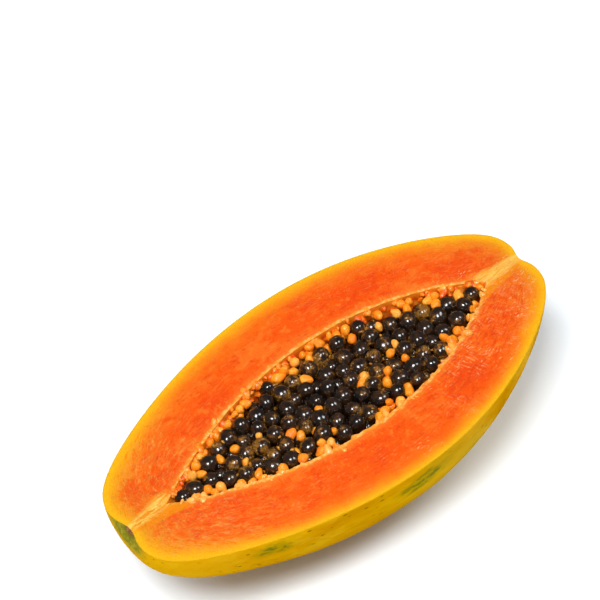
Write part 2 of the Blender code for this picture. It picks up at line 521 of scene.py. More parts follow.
def plug(shader, color, roughness, relief=None, **sockets):
    """Sets or links the shader's inputs; a name's underscores stand for spaces."""
    sockets.update(Base_Color=color, Roughness=roughness)
    if relief is not None:
        sockets["Normal"] = relief
    for name, value in sockets.items():
        feed(shader.inputs[name.replace("_", " ")], value)
    tally()


# %% [markdown]
# ### Cut flesh
# Ripe papaya flesh is a deep orange-red in the middle of its thickness, and turns orange
# and then yellow towards the skin. A pale line follows the edge of the cavity, where the
# seeds were attached. From each point of the cavity a pale, stringy vein runs to the end
# of the fruit, with a clear orange ribbon beside it. Fine fibres, redder clouds, tiny pale
# specks painted as highlights of the wet surface, and the knife's fine hatching lie over
# it. The material builds these up one by one, from the distances and the fibre map, so
# that they follow the shape of the cut.

# %% Base colour of the flesh, by distance from the skin
flesh, shader, place = new_finish("cut_flesh")
loose_place = warped(place, 140, 0.0035)
x, y, z = axes_of(place)
skin_mm, cavity_mm = axes_of(own_map("distances_mm"))[:2]

cloud = speckle(place, 55)
wander = times(sway(speckle(loose_place, 95), 7.0), fade(skin_mm, 0.5, 6.0))
end_share = calc("DIVIDE", calc("ABSOLUTE", x), HALF_LENGTH)
near_side = times(fade(y, 0.0, -0.022), fade(end_share, 0.9, 0.55))
near_stalk = fade(x, -0.030, -0.088)
near_flower = fade(x, 0.050, 0.095)
band = minus(1.0, times(near_stalk, 0.46))
band = minus(band, times(near_flower, 0.18))
band = plus(band, times(near_side, 0.38))
skin_share = calc("DIVIDE", times(plus(skin_mm, wander), band), 14.0, clamp=True)
color = ramp(skin_share, [
    (0.00, paint(252, 192, 16)),
    (0.12, paint(252, 178, 20)),
    (0.30, paint(251, 146, 20)),
    (0.55, paint(250, 112, 16)),
    (1.00, paint(250, 90, 8)),
])
color = cover(color, paint(242, 184, 22), fade(skin_mm, 1.5, 0.2))
tally()

# %% Redder clouds and lighter patches
deep = fade(skin_mm, 5.0, 11.0)
blotch = speckle(stretched(loose_place, (0.6, 1, 1)), 80, 4, 0.6)
color = cover(color, paint(243, 72, 8), fade(blotch, 0.50, 0.64), deep, 0.85)
color = cover(color, paint(253, 126, 34), fade(blotch, 0.46, 0.32), deep, 0.6)
patch = speckle(stretched(loose_place, (0.8, 1, 1)), 330, 3, 0.6)
color = cover(color, paint(254, 142, 44), fade(patch, 0.54, 0.70), deep, 0.45)
color = cover(color, paint(234, 66, 8), fade(patch, 0.46, 0.32), deep, 0.60)
tally()

# %% Fibres that fan out from the ends, and short strokes that leave the cavity
fibres = own_map("fibres")
loose_fibres = warped(fibres, 14, 0.035)
fibre_along, fibre_across = axes_of(loose_fibres)[:2]
fine = speckle(stretched(loose_fibres, (4.5, 80.0, 1.0)), 1.0, 3, 0.65)
wavy = speckle(stretched(warped(fibres, 10, 0.10), (5.5, 30.0, 1.0)), 1.0, 4, 0.7)
fine_light = times(fade(fine, 0.54, 0.72), 0.30)
lobes = plus(fade(x, -0.036, -0.078), times(near_flower, 0.5), clamp=True)
wavy_light = times(fade(wavy, 0.50, 0.70), lobes, 0.7)
away_from_rim = fade(skin_mm, 1.5, 4.5)
fibre_mask = times(plus(fine_light, wavy_light, clamp=True), away_from_rim)
color = cover(color, paint(257, 168, 66), fibre_mask)
slant = plus(times(skin_mm, 0.55), times(fibre_along, 5.0))
ripple_place = combined(times(fibre_along, 9.0), slant, times(fibre_across, 3.0))
ripple = speckle(warped(ripple_place, 0.8, 0.9), 1.0, 4, 0.65)
ripple_zone = times(lobes, fade(skin_mm, 3.0, 8.0))
color = cover(color, paint(257, 170, 76), fade(ripple, 0.52, 0.68), ripple_zone, 0.62)
color = cover(color, paint(244, 76, 8), fade(ripple, 0.47, 0.34), ripple_zone, 0.5)
color = cover(color, paint(240, 80, 10), fade(wavy, 0.47, 0.36), lobes, away_from_rim, 0.6)
stroke_place = combined(times(fibre_along, 42.0), times(cavity_mm, 0.16))
stroke = fade(speckle(stroke_place, 1.0, 3, 0.6), 0.54, 0.70)
stroke_zone = times(fade(cavity_mm, 11.0, 2.0), fade(cloud, 0.36, 0.56))
color = cover(color, paint(256, 162, 58), stroke, stroke_zone, 0.66)
tally()

# %% The pale, slightly ragged edge of the cavity
cavity_mm_here = plus(cavity_mm, sway(speckle(place, 300), 2.6))
color = cover(color, paint(252, 136, 40), fade(cavity_mm_here, 5.0, 1.0), 0.62)
lip_tone = mix(fade(speckle(place, 700), 0.4, 0.62), paint(254, 158, 46), paint(262, 198, 104))
color = cover(color, lip_tone, fade(cavity_mm_here, 1.9, 0.7))
tally()

# %% Pale veins and clear ribbons between the cavity and the ends
beyond_cavity = minus(calc("ABSOLUTE", x), CAVITY_HALF_LENGTH * 0.97)
vein_side = plus(y, sway(cloud, 0.004))


def off_centre(centre, width):
    """0 on a line that runs to the end of the fruit, 1 at half its width."""
    return calc("DIVIDE", calc("ABSOLUTE", minus(vein_side, centre)), width)


in_vein = off_centre(plus(times(beyond_cavity, -0.06), 0.0016), minus(0.0050, times(beyond_cavity, 0.14)))
string_place = stretched(warped(place, 160, 0.0028), (150, 1150, 1))
strings = speckle(string_place, 1.0, 3, 0.6)
vein_edge = plus(in_vein, sway(strings, 1.6))
vein = times(fade(vein_edge, 1.15, 0.55), fade(beyond_cavity, -0.004, 0.0030))
in_ribbon = off_centre(minus(times(beyond_cavity, 0.14), 0.0046), minus(0.0022, times(beyond_cavity, 0.06)))
ribbon = times(fade(in_ribbon, 1.25, 0.6), fade(beyond_cavity, -0.008, -0.001),
               fade(end_share, 0.99, 0.93), 0.92)
color = cover(color, paint(252, 146, 8), ribbon)
vein_color = mix(fade(strings, 0.40, 0.62), paint(254, 158, 26), paint(264, 216, 100))
vein_color = cover(vein_color, paint(260, 206, 92), near_flower, 0.5)
color = cover(color, vein_color, vein, 0.92)
tally()

# %% Tiny pale specks: painted highlights of the wet flesh
turned = {"Vector": loose_place, "Rotation": (0, 0, math.radians(-24)), "Scale": (0.26, 1, 1)}
glint_place = add("ShaderNodeMapping", turned).outputs[0]
painted_glint = fade(cell_distance(glint_place, 1150.0), 0.34, 0.12)
painted_glint_zone = fade(speckle(place, 62, 3, 0.6), 0.48, 0.62)
right_lobe = plus(fade(x, -0.02, 0.045), 0.3, clamp=True)
near_half = fade(minus(y, times(near_flower, 0.03)), 0.014, -0.004)
painted_glint_zone = times(painted_glint_zone, away_from_rim, right_lobe, plus(near_half, 0.25, clamp=True))
# Painted highlights: pale specks stand for glints of light on the wet flesh.
color = cover(color, paint(262, 196, 132), painted_glint, painted_glint_zone, 0.72)
tally()

# %% Fine pale hatching where the knife left the flesh of the near side rough
hatch_place = combined(times(fibre_along, 60.0), times(skin_mm, 0.18), times(fibre_across, 4.0))
hatch = fade(speckle(hatch_place, 1.0, 3, 0.7), 0.52, 0.68)
hatch_zone = times(fade(x, 0.010, 0.050), fade(y, 0.004, -0.012),
                   fade(speckle(place, 70), 0.40, 0.58), away_from_rim)
color = cover(color, paint(262, 186, 118), hatch, hatch_zone, 0.62)
tally()

# %% Redder streaks in the lobe at the flower end
red_streak = fade(speckle(stretched(loose_fibres, (7.0, 24.0, 1.0)), 1.0, 4, 0.65), 0.47, 0.62)
red_zone = times(fade(x, 0.006, 0.040), fade(y, 0.0, -0.012), deep)
color = cover(color, paint(226, 62, 8), red_streak, red_zone, 0.6)
tally()

# %% Grain, relief and moist sheen
grain = speckle(place, 900, 4, 0.7)
color = cover(color, paint(255, 142, 44), fade(grain, 0.52, 0.72), 0.28)
color = cover(color, paint(226, 66, 8), fade(grain, 0.48, 0.30), 0.22)
relief = bump(fibre_mask, 0.0005, 0.6)
relief = bump(patch, 0.0008, 0.5, relief)
relief = bump(grain, 0.0005, 0.5, relief)
sheen = between(patch, 0.24, 0.44)
plug(shader, color, sheen, relief,
     Specular_IOR_Level=0.12, Subsurface_Weight=0.12, Subsurface_Scale=0.003,
     Subsurface_Radius=(1.0, 0.35, 0.12))

# %% [markdown]
# ### Skin
# The skin is waxy and golden yellow, with paler and deeper patches, olive-green mottling
# that is left from before the fruit ripened, and small dark flecks. The mottling is drawn
# out along the fruit. Round the stalk scar the skin stays green, and the scar itself is
# dry and tan.

# %% Golden skin
skin, shader, place = new_finish("papaya_skin")
x, y, z = axes_of(place)
along = stretched(place, (0.45, 1, 1))
patches = speckle(along, 38, 4, 0.55)
color = ramp(patches, [
    (0.30, paint(226, 154, 0)),
    (0.50, paint(240, 174, 2)),
    (0.70, paint(252, 196, 6)),
])
loose_skin = warped(place, 90, 0.004)
streaks = speckle(stretched(loose_skin, (0.25, 1, 1)), 420, 3, 0.6)
color = cover(color, paint(200, 130, 4), fade(streaks, 0.45, 0.7), 0.32)
pale_cloud = speckle(stretched(loose_skin, (0.5, 1, 1)), 110, 3, 0.6)
color = cover(color, paint(262, 204, 34), fade(pale_cloud, 0.48, 0.66), 0.45)
tally()

# %% Green mottling: scattered by noise, and two streaky patches on one flank
GREEN_PATCHES = [((-0.060, -0.0405, 0.0505), 0.0058), ((0.004, -0.0518, 0.0470), 0.0072)]
PATCH_SQUEEZE = 0.42  # the patches are drawn out along the fruit
mottle = speckle(stretched(place, (0.5, 1, 1)), 27, 3, 0.6)
color = cover(color, paint(196, 166, 4), fade(mottle, 0.50, 0.70), 0.55)
color = cover(color, paint(98, 116, 14), fade(mottle, 0.62, 0.80), 0.80)
ragged_place = stretched(warped(place, 150, 0.007), (PATCH_SQUEEZE, 1, 1))
green_streaks = speckle(stretched(loose_skin, (0.35, 1, 1)), 520, 3, 0.65)
for centre, size in GREEN_PATCHES:
    squeezed = (centre[0] * PATCH_SQUEEZE, centre[1], centre[2])
    inside = near_to(ragged_place, squeezed, size, 0.25 * size)
    color = cover(color, paint(172, 156, 8), inside, 0.62)
    color = cover(color, paint(88, 112, 24), inside, fade(green_streaks, 0.44, 0.60), 0.85)
tally()

# %% Painted shade: darker towards the underside; and a golden flush near the stalk
# Painted shade: the skin is darkened towards the bottom, where less light falls.
color = cover(color, paint(186, 124, 2), fade(z, 0.046, 0.022), 0.5)
color = cover(color, paint(262, 194, 16), fade(x, -0.055, -0.085), fade(z, 0.030, 0.046), 0.5)
tally()

# %% Dark flecks, and the yellow line along the cut
fleck = fade(cell_distance(stretched(place, (0.4, 1, 1)), 340.0), 0.20, 0.08)
fleck_zone = fade(speckle(place, 60, 2), 0.40, 0.54)
color = cover(color, paint(92, 82, 10), fleck, fleck_zone, 0.8)
yellow_edge = fade(z, CUT_Z - 0.0016, CUT_Z - 0.0002)
color = cover(color, paint(246, 184, 10), yellow_edge, 0.8)
tally()

# %% Green shoulder and dry scar at the stalk, small dark scar at the flower end
ragged_end = warped(place, 260, 0.004)
stalk_tip = (-HALF_LENGTH, 0.0, CUT_Z)
flower_tip = (HALF_LENGTH, 0.0, CUT_Z)
green_tone = mix(fade(green_streaks, 0.42, 0.60), paint(126, 136, 36), paint(178, 166, 56))
color = cover(color, green_tone, near_to(ragged_end, stalk_tip, 0.0140, 0.0070), 0.9)
color = cover(color, paint(96, 92, 30), near_to(ragged_end, stalk_tip, 0.0058, 0.0036), 0.6)
dry = mix(fade(speckle(place, 1500, 3, 0.7), 0.4, 0.6), paint(88, 50, 20), paint(206, 144, 92))
color = cover(color, dry, near_to(ragged_end, stalk_tip, 0.0038, 0.0027))
color = cover(color, paint(70, 52, 24), near_to(ragged_end, flower_tip, 0.0042, 0.0028))
tally()

# %% Painted sheen: paler towards the flower end; and a waxy, faintly dimpled surface
# Painted sheen: a pale yellow tone towards the flower end stands for a soft reflection on the wax.
color = cover(color, paint(262, 206, 64), fade(x, -0.010, 0.060), fade(patches, 0.34, 0.56), 0.55)
relief = bump(speckle(place, 330), 0.0006, 0.25)
relief = bump(speckle(along, 90), 0.0016, 0.30, relief)
waxy = between(patches, 0.34, 0.50)
plug(shader, color, waxy, relief, Specular_IOR_Level=0.0,
     Subsurface_Weight=0.05, Subsurface_Scale=0.002, Subsurface_Radius=(1.0, 0.6, 0.15))

# %% [markdown]
# ### Cavity wall
# The wall of the cavity is the same flesh, torn where it was not cut, and always wet. So it
# has a finish of its own: bits of colour by noise, paler at the top, and painted shade that
# darkens it below, under a thin clear coat.

# %% Cavity wall, deep orange-red and wet
wall, shader, place = new_finish("cavity_wall")
x, y, z = axes_of(place)
bits = speckle(place, 260, 4, 0.6)
color = ramp(bits, [(0.36, paint(250, 88, 8)), (0.52, paint(268, 124, 22)), (0.66, paint(282, 172, 56))])
upper = fade(z, CUT_Z - 0.0030, CUT_Z - 0.0004)
color = cover(color, paint(276, 170, 44), upper, 0.8)
# Painted shade: deep in the cavity the wall turns a dark brown-red.
lower = fade(z, CUT_Z - 0.010, CUT_Z - 0.018)
color = cover(color, paint(150, 44, 6), lower)
relief = bump(bits, 0.0010, 0.5)
plug(shader, color, 0.28, relief, Coat_Weight=0.3, Coat_Roughness=0.1,
     Subsurface_Weight=0.2, Subsurface_Scale=0.003, Subsurface_Radius=(1.0, 0.35, 0.12))

# %% Give the half its three finishes and attach it to the root
for finish in (skin, flesh, wall):
    half.data.materials.append(finish)
only(half)
bpy.ops.object.shade_smooth_by_angle(angle=math.radians(38))
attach(half, "root")
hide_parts("papaya_half")
print("finishes:", [finish.name for finish in half.data.materials])

# %% [markdown]
# ## Seeds
# A papaya holds its seeds in a crowded heap. Ripe seeds are nearly black, egg-shaped and
# wrapped in a wet film of jelly, brown and wrinkled where it is thick. Between them and
# along the walls sit pale seeds that never ripened: smaller, orange and smooth. The model
# gives the places of the top seeds. The holes between those are filled here in the way
# that seeds pack by themselves: each further seed sinks until it lies clear under the
# seeds around it, and the highest free place is taken first.

# %% Where the seeds of the construction model lie
def lie_of(node):
    """Centre of a seed and the direction of its long axis."""
    points = np.array([v.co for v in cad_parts[node].data.vertices])
    centre = (points.min(axis=0) + points.max(axis=0)) / 2
    axis = np.linalg.svd(points - centre, full_matrices=False)[2][0]
    return centre, Vector(axis)


ripe_nodes = sorted(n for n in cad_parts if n.startswith("seed_") and n[-1].isdigit())
pale_nodes = sorted(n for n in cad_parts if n.startswith("pale_seed_"))
print("seeds of the model:", len(ripe_nodes), "ripe and", len(pale_nodes), "pale")

# %% The highest free place for one more seed
random = np.random.default_rng(7)
RIPE_RADIUS, PALE_RADIUS = 3.3 * MM, 2.15 * MM
SEED_CEILING = CUT_Z + 0.6 * MM
heap = []  # x, y, z and radius of every seed laid so far
print(f"ceiling of the heap: {1000 * SEED_CEILING:.1f} mm")


def drop_in(radius, inset, squeeze, sunk=0.0, gathering=None, spots=2500):
    """Sinks a seed at many spots and keeps the highest, or a high one near its gathering."""
    t = random.uniform(-0.97, 0.97, spots)
    wide = cavity_half_width(t) - inset
    y = random.uniform(-1, 1, spots) * np.maximum(wide - 0.8 * radius, 0)
    x = t * CAVITY_HALF_LENGTH
    z = SEED_CEILING - sunk - radius - random.uniform(0, 1.2 * MM, spots)
    for other_x, other_y, other_z, other_radius in heap:
        touch = squeeze * (radius + other_radius)
        apart = np.hypot(x - other_x, y - other_y)
        under = np.sqrt(np.maximum(touch**2 - apart**2, 0))
        z = np.where(apart < touch, np.minimum(z, other_z - under), z)
    down = CUT_Z - z + 0.7 * radius
    inside = ((np.abs(y) + 0.7 * radius) / wide) ** 2 + (down / cavity_depth(t)) ** 2
    stray = 0.0
    if gathering:
        middle_x = gathering[0] * CAVITY_HALF_LENGTH
        middle_y = gathering[1] * cavity_half_width(gathering[0])
        stray = GATHERING_PULL * np.hypot(x - middle_x, y - middle_y)
    score = np.where(inside < 1.0, z - stray, -1.0)
    best = int(np.argmax(score))
    if score[best] < -0.9:
        return None
    heap.append((x[best], y[best], z[best], radius))
    return heap[-1]


# %% Fill the heap: more ripe seeds, pale seeds along the walls, a dark layer underneath
MORE_RIPE, MORE_PALE, LOWER_RIPE = 30, 100, 70
PALE_LINING = 1.3 * MM
GATHERING_PULL = 0.45  # how much height a pale seed gives up to lie closer to its gathering
PALE_GATHERINGS = [  # share of the length, share of the width
    (-0.80, -0.3), (-0.60, -0.5), (-0.40, -0.5), (-0.20, -0.6), (-0.15, -0.4), (0.15, -0.7),
    (0.30, -0.7), (0.55, -0.8), (0.70, -0.9), (0.90, -0.5), (-0.70, 0.9), (-0.55, 0.9),
    (-0.40, 0.9), (-0.05, 0.8), (0.10, 0.9), (0.20, 0.9), (0.35, 0.9), (0.60, 0.9),
    (0.75, 0.8), (-0.45, 0.0), (0.25, -0.1), (0.45, -0.1),
]
CORNER_SEED = (-73.2 * MM, -0.4 * MM, CUT_Z - 2.4 * MM, 3.1 * MM)  # fills the stalk corner
for nodes, radius in ((ripe_nodes, RIPE_RADIUS), (pale_nodes, PALE_RADIUS)):
    heap += [(*lie_of(node)[0], radius) for node in nodes]
heap.append(CORNER_SEED)
more_ripe = [drop_in(RIPE_RADIUS, PALE_LINING, 0.97) for _ in range(MORE_RIPE)]
more_ripe.append(CORNER_SEED)
pale_sizes = random.uniform(0.66, 1.12, MORE_PALE) * PALE_RADIUS
more_pale = [
    drop_in(size, 0.0, 0.84, 0.4 * MM, PALE_GATHERINGS[index % len(PALE_GATHERINGS)])
    for index, size in enumerate(pale_sizes)
]
lower_ripe = [drop_in(RIPE_RADIUS, 0.5 * MM, 0.9) for _ in range(LOWER_RIPE)]
for title, lies in (("more ripe", more_ripe), ("more pale", more_pale), ("lower ripe", lower_ripe)):
    lies[:] = [lie for lie in lies if lie]
    drops = [1000 * (CUT_Z - lie[2]) for lie in lies]
    print(f"{title}: {len(lies)}, {min(drops):.1f} to {max(drops):.1f} mm below the cut")


# %% [markdown]
# ### One seed of each kind
# Each kind is modelled once. It starts as a ball of even triangles, which has no poles to
# pinch, and is stretched into an egg. Its copies are turned every way and dented a little,
# so that no two are alike. The ripe seeds on top are drawn larger than the model's, which
# stay clear of each other: here their jelly presses together.

# %% Seed patterns
def seed_pattern(name, radii, fineness, taper):
    """An egg with its radii in millimetres, slimmer towards one end."""
    start_clean()
    bpy.ops.mesh.primitive_ico_sphere_add(subdivisions=fineness, radius=1)
    made = bpy.context.object
    made.name = made.data.name = name
    places = coordinates(made)
    along = places[:, 0]
    slim = 1 - taper * along - 0.5 * taper * along**2
    places[:, 1:] *= slim[:, None]
    move_vertices(made, places * np.array(radii) * MM)
    bpy.ops.object.shade_smooth()
    return made


ripe_pattern = seed_pattern("ripe_pattern", (3.55, 3.15, 3.15), 4, 0.07)
pale_pattern = seed_pattern("pale_pattern", (2.5, 1.9, 1.9), 4, 0.22)
lower_pattern = seed_pattern("lower_pattern", (3.5, 3.2, 3.2), 3, 0.07)
print("faces of a ripe seed:", len(ripe_pattern.data.polygons))


# %% Copies, each with its own lie, dents and amount of jelly
def lay_copy(pattern, name, centre, axis, scale, dent, jelly, stretch=1.0, grain=2.6 * MM):
    """A copy with its own mesh, its long axis turned to lie along axis."""
    made = pattern.copy()
    made.data = pattern.data.copy()
    made.name = made.data.name = name
    bpy.context.scene.collection.objects.link(made)
    turn = axis.to_track_quat("X", "Z").to_matrix().to_4x4()
    spin = Matrix.Rotation(random.uniform(0, 2 * math.pi), 4, "X")
    longer = Matrix.Scale(stretch, 4, Vector((1, 0, 0)))
    made.data.transform(turn @ spin @ longer @ Matrix.Scale(scale, 4))
    outward = coordinates(made)
    points = outward + np.array(centre)
    outward /= np.linalg.norm(outward, axis=1)[:, None]
    dents = rough(points, grain, dent, 11)
    dents += rough(points, 0.35 * grain, 0.35 * dent * (0.3 + jelly), 12)
    move_vertices(made, points + outward * dents[:, None])
    stamp(np.tile([jelly, random.uniform(0, 1)], (len(points), 1)), made, "jelly_and_tint")
    return made


def any_axis():
    return Vector(random.normal(size=3)).normalized()


def joined(pieces, name):
    start_clean()
    for piece in pieces:
        piece.select_set(True)
    bpy.context.view_layer.objects.active = pieces[0]
    bpy.ops.object.join()
    made = bpy.context.object
    made.name = made.data.name = name
    return made


def jelly_at(centre):
    """How much jelly clings to a seed: most where the pulp tore in clumps."""
    clump = noise.noise(Vector(centre) / 0.016 + Vector((3.3, 1.2, 0.0)))
    return float(np.clip(0.08 + 1.5 * clump + random.uniform(-0.25, 0.35), 0, 1))


# %% Lay the seeds that have a place in the model
RIPE_DENT, SMOOTH_DENT, PALE_DENT = 0.12 * MM, 0.10 * MM, 0.36 * MM
ripe_seeds, pale_seeds = [], []
for node in ripe_nodes:
    centre, axis = lie_of(node)
    made = lay_copy(ripe_pattern, f"ripe_{node}", centre, axis, random.uniform(1.16, 1.30), RIPE_DENT,
                    jelly_at(centre))
    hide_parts(node)
    ripe_seeds.append(made)
for node in pale_nodes:
    centre, axis = lie_of(node)
    made = lay_copy(pale_pattern, f"smooth_{node}", centre, axis, 1.0, SMOOTH_DENT, 0.0)
    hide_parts(node)
    pale_seeds.append(made)
print("seeds laid:", len(ripe_seeds) + len(pale_seeds))

# %% Lay the seeds between and below them, each kind joined to one piece
ripe_seeds.append(joined(
    [lay_copy(ripe_pattern, "ripe", lie[:3], any_axis(), random.uniform(1.02, 1.12) * lie[3] / RIPE_RADIUS,
              RIPE_DENT, jelly_at(lie[:3]))
     for lie in more_ripe], "ripe_seeds_between"))
pale_seeds.append(joined(
    [lay_copy(pale_pattern, "pale", lie[:3], any_axis(), lie[3] / PALE_RADIUS, PALE_DENT, 0.0,
              random.uniform(0.80, 1.25), 1.9 * MM)
     for lie in more_pale], "pale_seeds_between"))
ripe_seeds.append(joined(
    [lay_copy(lower_pattern, "lower", lie[:3], any_axis(), 1.0, RIPE_DENT, jelly_at(lie[:3]))
     for lie in lower_ripe], "lower_seeds"))
print("pieces of seeds:", len(ripe_seeds) + len(pale_seeds))

# %% [markdown]
# ### Pulp
# Under the seeds the cavity is filled with wet, dark orange-brown pulp. It is a cushion in
# the shape of the cavity: a ball flattened level on top, pulled to the outline that the
# cavity has at that depth, and roughened on top.

# %% The pulp cushion under the seeds
PULP_DROP = 9.2 * MM
PULP_LENGTH = 0.9 * CAVITY_HALF_LENGTH
PULP_SHARE = 0.985  # of the cavity's width at that depth
start_clean()
bpy.ops.mesh.primitive_uv_sphere_add(segments=128, ring_count=48, radius=1)
pulp = bpy.context.object
pulp.name = pulp.data.name = "seed_pulp_cushion"
places = coordinates(pulp)
top = places[:, 2] > 0
share = np.clip(places[:, 0], -0.999, 0.999)
ball_radius = np.sqrt(1 - share**2)
t = share * PULP_LENGTH / CAVITY_HALF_LENGTH
depth_here = np.maximum(cavity_depth(t) - PULP_DROP, 0.2 * MM)
room = np.sqrt(np.maximum(1 - (PULP_DROP / cavity_depth(t)) ** 2, 0.0))
places[:, 0] = share * PULP_LENGTH
places[:, 1] *= cavity_half_width(t) * room * PULP_SHARE / ball_radius
height = places[:, 2] / ball_radius
places[:, 2] = CUT_Z - PULP_DROP + np.where(top, 0.8 * MM * height, 0.96 * depth_here * height)
places[top, 2] += (rough(places, 4 * MM, 1.4 * MM, 21) + rough(places, 1.6 * MM, 0.6 * MM, 22))[top]
move_vertices(pulp, places)
bpy.ops.object.shade_smooth()
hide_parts("seed_bed")
print("faces of the pulp:", len(pulp.data.polygons))

# %% [markdown]
# ### Stubs, beads and wisps
# Each seed hung on a short stalk. Where the seeds were torn away, peach-coloured stubs are
# left along both edges of the cavity, and small fleshy beads cover the far wall. Scraps of
# jelly hang between the seeds. All of these are small and many, so one lump of few faces is
# modelled, and its copies are stretched, dented, turned and set in their places.

# %% Stubs along the edges and beads down the far wall
lump_pattern = seed_pattern("lump_pattern", (1.0, 0.8, 0.75), 2, 0.15)
LUMP_DENT = 0.6 * MM  # for a lump of size 1


def on_wall(t, side, depth):
    """A point of the cavity's wall, depth metres below the cut face."""
    x = t * CAVITY_HALF_LENGTH
    across = cavity_half_width(t) * math.sqrt(max(1 - (depth / cavity_depth(t)) ** 2, 0))
    across -= edge_wobble([(x, side * across)])[0] * max(0.0, 1 - depth / (3 * MM))
    return np.array([x, side * across, CUT_Z - depth])


def lumps_on_wall(count, side, depths, sizes, inwards, name):
    """Lumps strewn along one wall: depths in millimetres, inwards in lump sizes."""
    made = []
    for _ in range(count):
        t = math.sin(random.uniform(-1.27, 1.32))
        shallow = min(1.0, 1.4 * (1 - t * t) + 0.15)
        size = (sizes[0] + (sizes[1] - sizes[0]) * random.uniform() ** 2) * (0.65 + 0.35 * shallow)
        place = on_wall(t, side, min(random.uniform(*depths) * MM * shallow, 0.8 * cavity_depth(t)))
        place[1] -= side * random.uniform(*inwards) * size * MM
        axis = (Vector((0, -side, 0)) + 0.8 * any_axis()).normalized()
        made.append(lay_copy(lump_pattern, "lump", place, axis, size, LUMP_DENT * size,
                             0.0, random.uniform(0.9, 1.8), 1.3 * size * MM))
    return joined(made, name)


near_stubs = lumps_on_wall(70, -1, (1.4, 3.2), (0.9, 3.0), (-0.4, 0.5), "stubs_on_near_edge")
far_stubs = lumps_on_wall(66, 1, (1.0, 4.4), (0.8, 2.6), (-0.4, 0.4), "stubs_on_far_edge")
far_beads = lumps_on_wall(96, 1, (3.0, 9.0), (1.4, 2.8), (-0.3, 0.5), "beads_on_far_wall")
print("faces of the near stubs:", len(near_stubs.data.polygons))

# %% Wisps of jelly that cling between neighbouring seeds
LEAST_JELLY = 0.30  # wisps hang only where this much jelly clings to the seeds
top_seeds = np.array([lie for lie in heap if lie[3] == RIPE_RADIUS and lie[2] > CUT_Z - 9 * MM])
gaps = np.linalg.norm(top_seeds[:, None, :3] - top_seeds[None, :, :3], axis=2)
firsts, seconds = np.nonzero(np.triu(gaps < 2.15 * RIPE_RADIUS, 1))
wisps = []
for first, second in zip(firsts, seconds):
    start, end = top_seeds[first, :3], top_seeds[second, :3]
    middle = (start + end) / 2
    if jelly_at(middle) < LEAST_JELLY:
        continue
    for _ in range(2):
        size = random.uniform(0.4, 1.0)
        spot = middle + random.normal(size=3) * 0.9 * MM
        spot[2] = middle[2] + random.uniform(0.9, 2.3) * MM
        if spot[2] + 1.3 * size * MM < CUT_Z + 0.5 * MM:
            across = Vector(end - start).normalized().cross(Vector((0, 0, 1)))
            axis = (across + 0.7 * any_axis()).normalized()
            wisps.append(lay_copy(lump_pattern, "wisp", spot, axis, size, LUMP_DENT * size,
                                  0.3, random.uniform(1.0, 2.2), 1.2 * size * MM))
print("wisps of jelly:", len(wisps))
wisps = joined(wisps, "jelly_wisps")
for pattern in (ripe_pattern, pale_pattern, lower_pattern, lump_pattern):
    bpy.data.objects.remove(pattern)

# %% [markdown]
# ### Finishes of the seeds
# A ripe seed is black under clear jelly. Where the jelly is thick it shows golden brown and
# wrinkled. Its gloss is what makes it look wet, so it is smooth and has a clear coat. How
# much jelly a seed has, and its tint, were stamped on its mesh when it was laid.

# %% Ripe seed: black with patches of brown jelly, and painted glints on the jelly
ripe, shader, place = new_finish("ripe_seed")
amount, tint = axes_of(own_map("jelly_and_tint"))[:2]
dark = mix(tint, paint(12, 8, 7), paint(34, 22, 12))
dark = cover(dark, paint(56, 32, 14), fade(speckle(place, 420), 0.45, 0.7))
thickness = plus(speckle(place, 250, 4, 0.6), times(amount, 0.20))
jelly = fade(thickness, 0.61, 0.70)
wrinkle = fade(speckle(place, 480, 3, 0.6, 2.0), 0.50, 0.62)
jelly_color = mix(tint, paint(112, 72, 12), paint(158, 104, 24))
jelly_color = cover(jelly_color, paint(226, 150, 44), wrinkle, 0.74)
color = cover(dark, paint(88, 52, 14), fade(thickness, 0.48, 0.66), 0.5)
color = cover(color, jelly_color, jelly, 0.75)
# Painted highlights: tiny pale specks on the jelly stand for glints of light.
color = cover(color, paint(262, 220, 140), fade(cell_distance(place, 620.0), 0.28, 0.12), jelly, 0.5)
relief = bump(speckle(place, 500, 2), 0.0002, 0.3)
relief = bump(times(wrinkle, jelly), 0.0003, 0.8, relief)
gloss = between(jelly, 0.20, 0.26)
plug(shader, color, gloss, relief, Specular_IOR_Level=0.5,
     Coat_Weight=0.6, Coat_Roughness=0.06)

# %% Pale seed: smooth golden orange, clouded lighter and deeper, a few of them peach
pale, shader, place = new_finish("pale_seed")
tint = axes_of(own_map("jelly_and_tint"))[1]
color = mix(tint, paint(276, 152, 22), paint(278, 172, 36))
color = cover(color, paint(290, 198, 72), fade(speckle(place, 360), 0.5, 0.72))
color = cover(color, paint(270, 132, 12), fade(speckle(place, 180, 2), 0.54, 0.70))
color = cover(color, paint(284, 196, 84), fade(tint, 0.80, 0.86), 0.6)
relief = bump(speckle(place, 800), 0.0003, 0.5)
gloss = between(speckle(place, 600, 2), 0.30, 0.5)
plug(shader, color, gloss, relief, Specular_IOR_Level=0.3,
     Coat_Weight=0.14, Coat_Roughness=0.12, Subsurface_Weight=0.35, Subsurface_Scale=0.002,
     Subsurface_Radius=(1.0, 0.5, 0.15))


# %% Stubs, beads and wisps: one recipe in four tints
def fleshy(name, light, middle, deep):
    made, shader, place = new_finish(name)
    color = mix(axes_of(own_map("jelly_and_tint"))[1], light, middle)
    color = cover(color, deep, fade(speckle(place, 500), 0.45, 0.7))
    relief = bump(speckle(place, 900), 0.0003, 0.5)
    gloss = between(speckle(place, 700, 2), 0.2, 0.45)
    plug(shader, color, gloss, relief, Specular_IOR_Level=0.4,
         Coat_Weight=0.15, Coat_Roughness=0.1, Subsurface_Weight=0.25, Subsurface_Scale=0.001,
         Subsurface_Radius=(1.0, 0.6, 0.2))
    return made


